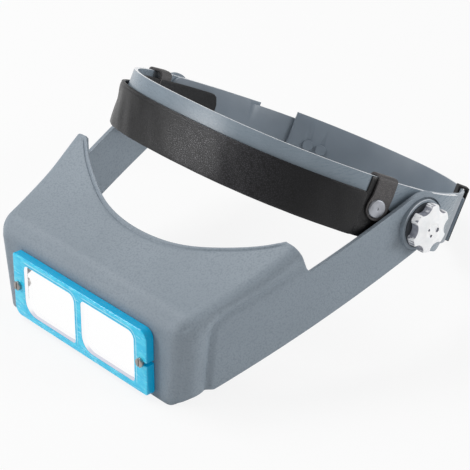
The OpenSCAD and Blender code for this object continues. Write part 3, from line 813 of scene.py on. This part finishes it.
def make_visor():
    """Hood and arms in one wall, with their bosses, holes and window."""
    piece = visor_sheet()
    add_arms(piece)
    outward(piece)
    modify(piece, "SOLIDIFY", thickness=VISOR_T, offset=-1.0, use_even_offset=True)
    round_off(piece, 0.45, 3, 58)
    for side in (1, -1):
        turn = Matrix.Rotation(math.pi if side < 0 else 0.0, 4, "Z")
        groove = disc(BOSS_GROOVE_R, ARM_OUT_X - 0.85, 110.0, "groove")
        groove.data.transform(turn)
        cut(piece, groove)
        # Stepped boss, with the washer's seat sunk in it
        boss = disc(BOSS_R, ARM_IN_X, ARM_IN_X + BOSS_H, "boss", 0.55)
        choose(boss, "FACE", lambda at, normal: normal.x > 0.99)
        bpy.ops.mesh.inset(thickness=0.75)
        bpy.ops.mesh.inset(thickness=0.25)
        bpy.ops.mesh.extrude_region_move(TRANSFORM_OT_translate={"value": (-1.2, 0, 0)})
        leave()
        boss.data.transform(turn)
        cut(piece, boss, "UNION")
        # The arm is flat on its inside there, and bored for the bolt
        for radius, end in ((BOSS_FLAT_R, ARM_IN_X), (BOLT_HOLE_R, 110.0)):
            hole = disc(radius, 80.0, end, "hole")
            hole.data.transform(turn)
            cut(piece, hole)
        cut(piece, screw_hole(side, WALL_CUT[0]))
    wide, high = WINDOW_HALF
    cut(piece, block((-wide, WALL_CUT[0], PLATE_Z - high), (wide, WALL_CUT[1], PLATE_Z + high),
                     "window", WINDOW_CORNERS))
    soften(piece, 30)
    settle(piece, "visor", ["visor"], visor_finish)


make_visor()


# The lens plate and its lenses


def lens_block(side, shrink, start, end, name):
    """A block of a lens's outline, on one side, between two stations."""
    middle = side * LENS_MIDDLE
    wide, high = (half - shrink for half in LENS_HALF)
    return block((middle - wide, start, PLATE_Z - high),
                 (middle + wide, end, PLATE_Z + high), name,
                 tuple(radius - shrink * 0.6 for radius in LENS_CORNERS))


def make_plate():
    """The plate with its two windows, and a slot at each end that a screw holds."""
    wide, high = PLATE_HALF
    piece = block((-wide, PLATE_FRONT, PLATE_Z - high), (wide, PLATE_BACK, PLATE_Z + high),
                  "lens_plate_moulding", PLATE_CORNERS)
    round_off(piece, 0.7, 4, 60)
    for side in (-1, 1):
        cut(piece, lens_block(side, 0.0, PLATE_FRONT - 2.0, PLATE_CUT[1], "window"))
        reach = sorted((side * SCREW_X, side * 60.0))
        cut(piece, block((reach[0], PLATE_CUT[0], PLATE_Z - SLOT_HALF),
                         (reach[1], PLATE_CUT[1], PLATE_Z + SLOT_HALF)))
        cut(piece, screw_hole(side, PLATE_CUT[0]))
    soften(piece, 40)
    settle(piece, "visor", ["lens_plate"], plate_finish)


def make_lens(side, name):
    """A glass that fills its window, crowned in front."""
    piece = lens_block(side, 0.03, PLATE_FRONT + 0.15, PLATE_BACK, name + "_lens_glass")
    # The front is drawn in, ring by ring, towards its middle
    choose(piece, "FACE", lambda at, normal: normal.y < -0.99)
    for ring in range(5):
        bpy.ops.mesh.extrude_region_move(
            TRANSFORM_OT_translate={"value": (0, -0.07 + 0.012 * ring, 0)})
        shrink = (0.8 - 0.2 * ring) / (1.0 - 0.2 * ring) if ring < 4 else 0.3
        bpy.ops.transform.resize(value=(shrink, 1, shrink),
                                 center_override=(side * LENS_MIDDLE, PLATE_FRONT, PLATE_Z))
    leave()
    outward(piece)
    soften(piece, 50)
    settle(piece, "visor", [name + "_lens"], lens_finish)


make_plate()
make_lens(-1, "left")
make_lens(1, "right")


# The head ring's outline, a superellipse with a flatter right rear, which the leather follows

RING_W = 90.9
RING_L = 97.7
RING_C = 13.1
RING_POWER = 2.47
FLATTER_POWER = 1.65


def ring_at(turn, depth):
    """Point set off from the ring's outline along its normal, as x and y."""
    c, s = math.cos(turn), math.sin(turn)
    power = FLATTER_POWER if c > 0 and s > 0 else RING_POWER
    sign = (math.copysign(1, c), math.copysign(1, s))
    spot = Vector((RING_W * sign[0] * abs(c) ** (2 / power),
                   RING_C + RING_L * sign[1] * abs(s) ** (2 / power)))
    normal = Vector((sign[0] * abs(c) ** (2 - 2 / power) / RING_W,
                     sign[1] * abs(s) ** (2 - 2 / power) / RING_L)).normalized()
    return spot + normal * depth


def ring_spot(turn, depth, z):
    """The same point at a height."""
    return Vector((*ring_at(turn, depth), z))


def ring_turn(y, side):
    """Outline angle at a distance behind the pivots, counted on from the left side."""
    power = FLATTER_POWER if y > RING_C and side > 0 else RING_POWER
    turn = math.asin(min(1.0, abs(y - RING_C) / RING_L) ** (power / 2))
    turn = math.copysign(turn, y - RING_C)
    return 2 * math.pi + turn if side > 0 else math.pi - turn


def even_turns(y, count):
    """Outline angles in even steps round the front, from one side's y to the other's."""
    start, end = ring_turn(y, -1), ring_turn(y, 1)
    fine = [mix(start, end, i / 2000) for i in range(2001)]
    lengths = [0.0]
    for a, b in zip(fine, fine[1:]):
        lengths.append(lengths[-1] + (ring_at(b, 0) - ring_at(a, 0)).length)
    turns, i = [], 0
    for step in range(count + 1):
        goal = lengths[-1] * step / count
        while i < 1999 and lengths[i + 1] < goal:
            i += 1
        turns.append(mix(fine[i], fine[i + 1], (goal - lengths[i]) / (lengths[i + 1] - lengths[i])))
    return turns, lengths[-1]


def flap_depth(turn):
    """Depth of the inner flap, deeper at the temples, where it clears the bolt heads."""
    return mix(2.3, 6.15, smooth((ring_at(turn, 0).y + 58.0) / 34.0))


def bent_grid(name, across, up, place):
    """A grid bent to where place() says, from the step across and the step up."""
    bpy.ops.mesh.primitive_grid_add(x_subdivisions=across, y_subdivisions=up, size=2.0)
    piece = rename(bpy.context.object, name)
    shape(piece, lambda at: place(round((at.x + 1) / 2 * across), round((at.y + 1) / 2 * up)))
    return piece


def thicken(piece, thickness, rounding, steps=3):
    """Gives a bent grid its thickness, half to each side, and rounds its edges."""
    outward(piece)
    modify(piece, "SOLIDIFY", thickness=thickness, offset=0.0, use_even_offset=True)
    round_off(piece, rounding, steps, 55)
    soften(piece, 50)


def flap(name, end, count, rows, corner, depth):
    """A flap round the ring's front with round corners, from one row height to another."""
    turns, length = even_turns(end, count)
    low, high = rows[0], rows[-1]

    def place(i, j):
        off = min(i, count - i) / count * length
        trim = 0.0
        if off < corner:
            trim = corner - math.sqrt(corner ** 2 - (corner - off) ** 2)
        share = (rows[j] - low) / (high - low)
        z = mix(low + trim, high - trim, share)
        return ring_spot(turns[i], depth(turns[i], z), z)
    return bent_grid(name, count, len(rows) - 1, place)


FLAP_LOW = -15.0
LEATHER_T = 1.8
LEATHER_ROUND = 0.75
# Where the outer flap, the inner flap and the fold end, as y from the pivots
OUTER_END = -35.3
INNER_END = 24.0
FOLD_END = -38.5


def outer_depth(turn, z):
    """Depth of the padded outer flap, with a seam groove along its upper edge and a loose bulge."""
    puff = 0.55 * math.sin(math.pi * clamp((z - FLAP_LOW) / 23.5)) ** 0.6
    flat_end = 1.0 - 0.8 * smooth((math.degrees(turn) - 285.0) / 20.0)
    seam = -0.22 * flat_end * bell(z, 6.2, 0.4)
    sway = 0.12 * math.sin(turn * 23.0) + 0.08 * math.sin(turn * 41.0 + z * 0.3)
    loose = 1.7 * bell(math.degrees(turn), 226.0, 11.0) * smooth((z + 4.0) / 11.0)
    return 1.2 + puff + seam + sway * smooth((7.0 - z) / 6.0) + loose


def make_leather():
    """The leather folded round the band's lower edge: outer flap, inner flap and fold."""
    rows = [FLAP_LOW, -14.1, -13.2, -12.0] + [-10.5 + 1.5 * i for i in range(10)]
    rows += [4.0, 4.8, 5.2, 5.5, 5.8, 6.1, 6.5, 7.5]
    outer = flap("leather_band", OUTER_END, 132, rows, 1.5, outer_depth)
    thicken(outer, LEATHER_T, LEATHER_ROUND)
    rows = [FLAP_LOW, -14.0] + [-12.6 + 1.55 * i for i in range(15)] + [11.4, 12.5]
    inner = flap("inner_flap", INNER_END, 150, rows, 6.0, lambda turn, z: -flap_depth(turn)
                 - 0.95 - 0.3 * math.sin(math.pi * (z - FLAP_LOW) / 27.5) ** 2)
    thicken(inner, LEATHER_T, LEATHER_ROUND)
    # The fold under the band's lower edge, then all three as one piece
    count, steps = 120, 6
    turns = even_turns(FOLD_END, count)[0]

    def place(i, j):
        return ring_spot(turns[i], mix(1.75, -flap_depth(turns[i]) - 1.5, j / steps),
                         -14.15 - 0.25 * math.sin(math.pi * j / steps))
    fold = bent_grid("fold", count, steps, place)
    thicken(fold, 1.4, 0.5)
    pick(outer, inner, fold)
    bpy.ops.object.join()
    settle(outer, "headband", ["comfort_band"], leather_finish, tipped=True)


# A tab's run in section, from inside the band over its edge and down the outside
TAB_RUN = [(-6.95, 9.5), (-6.95, 11.0), (-6.95, 12.6), (-6.85, 14.0), (-6.4, 15.2), (-5.5, 16.1),
           (-4.2, 16.45), (-2.6, 16.45), (-1.0, 16.45), (0.1, 16.3), (0.8, 15.8), (1.05, 15.0),
           (1.1, 13.6), (1.15, 12.0), (1.25, 10.2), (1.35, 8.4), (1.35, 6.6), (1.3, 5.0),
           (1.2, 3.4), (1.15, 2.0), (1.15, 0.8), (1.15, -0.6), (1.15, -1.9), (1.15, -3.1),
           (1.15, -4.1), (1.15, -4.9), (1.15, -5.3)]
# A tab's half widths: over the band's edge, below it and round the snap, then inside the band
TAB_HALF = (5.5, 5.6, 6.1)
TAB_INNER_HALF = 5.7
SNAP_Z = 0.8


def make_tab(side, name):
    """A tab that comes up inside the band, over its edge and down to the snap."""
    columns = 10

    def place(i, j):
        depth, z = TAB_RUN[j]
        outside = depth > 0
        half = TAB_INNER_HALF
        if outside:
            half = mix(TAB_HALF[0], TAB_HALF[1], smooth((14.0 - z) / 6.0))
            half = mix(half, TAB_HALF[2], smooth((7.0 - z) / 6.0))
        if outside and z < SNAP_Z:
            # A round end below the snap
            half = math.sqrt(max(0.5, TAB_HALF[2] ** 2 - (z - SNAP_Z) ** 2))
        y = mix(-26.4, -26.9, smooth((9.0 - z) / 8.0)) + (2 * i / columns - 1) * half
        # The front edge lifts a little off the band
        lift = 0.3 * smooth((-30.0 - y) / 4.0) if outside and z > 5 else 0.0
        return ring_spot(ring_turn(y, side), depth + lift, z)
    piece = bent_grid(name, columns, len(TAB_RUN) - 1, place)
    thicken(piece, 1.3, 0.4, 2)
    settle(piece, "headband", [], tab_finish, tipped=True)


def make_flap_end(side, name):
    """The flap's thin end, which runs on under the tab, with a black sheet above it that shows
    beside the tab as a painted shadow.
    """
    rows = [FLAP_LOW, -14.2, -13.0, -11.5, -10.0, -9.0, -8.2, -7.4, -6.4, -5.0, -3.0, -1.0, 1.0,
            3.0, 5.0, 6.6, 7.4, 8.4, 10.5, 13.0, 15.3]
    columns = [-38.0, -36.5, -35.4, -34.6, -33.8, -32.0, -29.0, -26.0, -23.0, -20.0, -17.5]

    def place(i, j):
        y, z = columns[i], rows[j]
        # Above the band's edge it goes on as a black sheet behind the tab, a painted shadow beside
        # it
        if z > 7.0:
            y = min(max(y, -35.2), -22.0)
        if z > 2.0:
            y = min(y, -21.5)
        depth = 0.3 + 0.7 * smooth((-6.0 - z) / 7.0) * smooth((-15.5 - y) / 8.0)
        return ring_spot(ring_turn(y, side), depth, z)
    piece = bent_grid(name, len(columns) - 1, len(rows) - 1, place)
    thicken(piece, 0.45, 0.1, 1)
    settle(piece, "headband", [], leather_finish, tipped=True)


make_leather()
for side, name in ((-1, "left"), (1, "right")):
    make_tab(side, name + "_tab")
    make_flap_end(side, name + "_flap_end")


# Star knobs

KNOB_X = 97.24
KNOB_T = 7.0
KNOB_BORE_R = 3.68
LOBES = 6
LOBE_PHASE = math.radians(46.0)
LOBE_R = 12.6
LOBE_CORNER = 0.35
SCALLOP_R = 5.0
SCALLOP_OUT = 14.9
DISC_R = 12.0


def lobed(at):
    """Draws a point of a disc in or out to the knob's lobes, with a scallop between each two."""
    angle = math.atan2(at.z, at.y)
    turn = (angle - LOBE_PHASE) % (2 * math.pi / LOBES) - math.pi / LOBES
    radius = LOBE_R
    reach = SCALLOP_R ** 2 - (SCALLOP_OUT * math.sin(turn)) ** 2
    if reach > 0:
        # Where the two curves meet, the lobe's corner is rounded
        scallop = SCALLOP_OUT * math.cos(turn) - math.sqrt(reach)
        radius = -LOBE_CORNER * math.log(math.exp(-radius / LOBE_CORNER)
                                         + math.exp(-scallop / LOBE_CORNER))
    radius *= at.yz.length / DISC_R
    return Vector((at.x, math.cos(angle) * radius, math.sin(angle) * radius))


def make_knob(side, name):
    """A star knob on the right pivot, turned round for the left one."""
    back_x = KNOB_X + 1.3
    face_x = KNOB_X + 5.7
    piece = disc(DISC_R, back_x, face_x, name + "_star_knob", vertices=LOBES * 28)
    shape(piece, lobed)

    def draw_in(radius, station):
        """Draws the chosen face in to a circle at that radius and station."""
        bpy.ops.mesh.extrude_region_move(TRANSFORM_OT_translate={"value": (0, 0, 0)})
        leave()
        for vertex in piece.data.vertices:
            if vertex.select:
                angle = math.atan2(vertex.co.z, vertex.co.y)
                vertex.co = (station, radius * math.cos(angle), radius * math.sin(angle))
        bpy.ops.object.mode_set(mode="EDIT")
    # The face rises to a hub with a ring groove, the back goes down to a narrow neck
    choose(piece, "FACE", lambda at, normal: normal.x > 0.99)
    top = KNOB_X + KNOB_T
    for radius, station in ((7.6, face_x + 0.35), (5.2, top - 0.2), (4.6, top), (3.75, top),
                            (3.55, top - 0.12), (2.95, top - 0.12), (2.75, top)):
        draw_in(radius, station)
    leave()
    choose(piece, "FACE", lambda at, normal: normal.x < -0.99)
    draw_in(8.2, back_x)
    draw_in(8.0, KNOB_X)
    leave()
    round_off(piece, 0.55, 4, 62)
    cut(piece, disc(KNOB_BORE_R, KNOB_X - 1, KNOB_X + 5.6, "bore"))
    # Three round pits round the hub
    for angle, width in ((12.0, 1.25), (190.0, 0.7), (275.0, 0.8)):
        angle = math.radians(angle)
        slot = disc(width, top - 1.15, top + 1.0, "slot", vertices=16)
        slot.data.transform(Matrix.Translation((0, 3.1 * math.cos(angle), 3.1 * math.sin(angle))))
        cut(piece, slot)
    soften(piece, 35)
    if side < 0:
        piece.data.transform(Matrix.Rotation(math.pi, 4, "Z"))
    settle(piece, name + "_knob", [name + "_knob"], knob_finish, tipped=True)


make_knob(-1, "left")
make_knob(1, "right")


# Pieces that start from their solids


def follow(node, name, body, finish, round_edges, steps=2):
    """Puts a merged copy of a solid in its place, with its sharp edges rounded."""
    piece = bpy.data.objects.new(name, nodes[node].data.copy())
    piece.data.name = name
    bpy.context.scene.collection.objects.link(piece)
    piece.data.transform(Matrix.Scale(1.0 / MM, 4))
    edit(piece, everything=True)
    if piece.data.has_custom_normals:
        bpy.ops.mesh.customdata_custom_splitnormals_clear()
    bpy.ops.mesh.remove_doubles(threshold=0.002)
    bpy.ops.mesh.dissolve_limited(angle_limit=math.radians(0.3))
    leave()
    round_off(piece, round_edges, steps, 40)
    soften(piece, 35)
    piece.data.transform(Matrix.Scale(MM, 4))
    dress(piece, finish)
    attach(piece, body)
    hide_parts(node)
    return piece


SIDES = ("left", "right")
follow("front_band", "front_band_moulding", "headband", band_finish,
       round_edges=0.7, steps=4)
for side in SIDES:
    follow(side + "_strap", side + "_strap_moulding", "headband",
           strap_finish, round_edges=0.35)
follow("strap_keeper", "keeper_loop", "strap_keeper", keeper_finish,
       round_edges=0.3)
for side in SIDES:
    follow(side + "_clamp_washer", side + "_washer_ring", "visor",
           washer_finish, round_edges=0.3)
    dress(nodes[side + "_pivot_bolt"], bolt_finish)
    dress(nodes[side + "_spacer"], spacer_finish)
    dress(nodes[side + "_knob_insert"], insert_finish)
follow("snap_caps", "snap_buttons", "headband", snap_finish, round_edges=0.4,
       steps=3)
screws = follow("plate_screws", "slotted_screws", "visor", screw_finish,
                round_edges=0.2)
shape(screws, lambda at: at + Vector((0, -SCREW_FORWARD * MM, 0)))
dress(nodes["snap_posts"], snap_finish)
dress(nodes["plate_nuts"], screw_finish)
dress(nodes["size_studs"], strap_finish)


# Floor, light and camera

FLOOR_GLOW = 0.86
HORIZON = (0.9, 0.9, 0.9, 1.0)


def stage_floor():
    """A floor that the camera and reflections see nearly white, with the part's shadow on it."""
    bpy.ops.mesh.primitive_plane_add(size=6.0, location=(0, 0, 0))
    floor = rename(bpy.context.object, "floor")
    finish = Finish("floor_white")
    path = finish.node("LightPath")
    outputs = path.socket.node.outputs
    seen = Value(finish, outputs["Is Transmission Ray"])
    for ray in ("Is Camera Ray", "Is Glossy Ray"):
        seen = seen.larger(Value(finish, outputs[ray]) * FLOOR_GLOW)
    board = finish.node("BsdfDiffuse", (), {"Color": (0.8, 0.8, 0.8, 1.0)})
    white = finish.node("Emission", (), {"Color": (1.0, 1.0, 1.0, 1.0), "Strength": 1.0})
    dress(floor, finish.done(finish.node("MixShader", (), {0: seen, 1: board, 2: white})))


def world_light(strength):
    """Even light from all round, which the camera and glass see as pale as the floor's far end."""
    world = bpy.data.worlds.new("studio")
    bpy.context.scene.world = world
    world.use_nodes = True
    tree = world.node_tree
    tree.nodes.clear()
    path, either, soft, white, blend, out = (
        tree.nodes.new("ShaderNode" + kind)
        for kind in ("LightPath", "Math", "Background", "Background", "MixShader", "OutputWorld"))
    either.operation = "MAXIMUM"
    soft.inputs["Strength"].default_value = strength
    white.inputs["Color"].default_value = HORIZON
    for source, target in ((path.outputs["Is Camera Ray"], either.inputs[0]),
                           (path.outputs["Is Transmission Ray"], either.inputs[1]),
                           (either.outputs[0], blend.inputs[0]),
                           (soft.outputs[0], blend.inputs[1]),
                           (white.outputs[0], blend.inputs[2]),
                           (blend.outputs[0], out.inputs[0])):
        tree.links.new(source, target)


def soft_box(name, spot, size, power):
    """A square lamp that looks at the part."""
    light = bpy.data.lights.new(name, "AREA")
    light.shape = "SQUARE"
    light.size = size
    light.energy = power
    lamp = bpy.data.objects.new(name, light)
    bpy.context.scene.collection.objects.link(lamp)
    lamp.location = spot
    aim = Vector((0, 0, 0.05)) - Vector(spot)
    lamp.rotation_euler = aim.to_track_quat("-Z", "Y").to_euler()


stage_floor()
world_light(0.46)
soft_box("left_key", (-1.0, -0.4, 1.45), 0.9, 16.0)
soft_box("front_left", (-1.0, -1.5, 0.72), 0.6, 9.0)
soft_box("right_rim", (1.35, 0.85, 0.6), 0.8, 12.0)

# The camera: its focal length in picture widths, its place from the pivots and its direction
SENSOR = 36.0
FOCAL = 1953.0 / 470.0
CAMERA_OFF = Vector((660.1, -633.7, 464.1))
CAMERA_AIM = Vector((-0.648, 0.586, -0.487))
camera_data = bpy.data.cameras.new("photo_view")
camera_data.sensor_width = SENSOR
camera_data.lens = FOCAL * SENSOR
camera = bpy.data.objects.new("photo_view", camera_data)
bpy.context.scene.collection.objects.link(camera)
camera.location = (PIVOT + CAMERA_OFF) * MM
camera.rotation_euler = CAMERA_AIM.to_track_quat("-Z", "Y").to_euler()
bpy.context.scene.camera = camera
bpy.context.scene.view_settings.view_transform = "Standard"
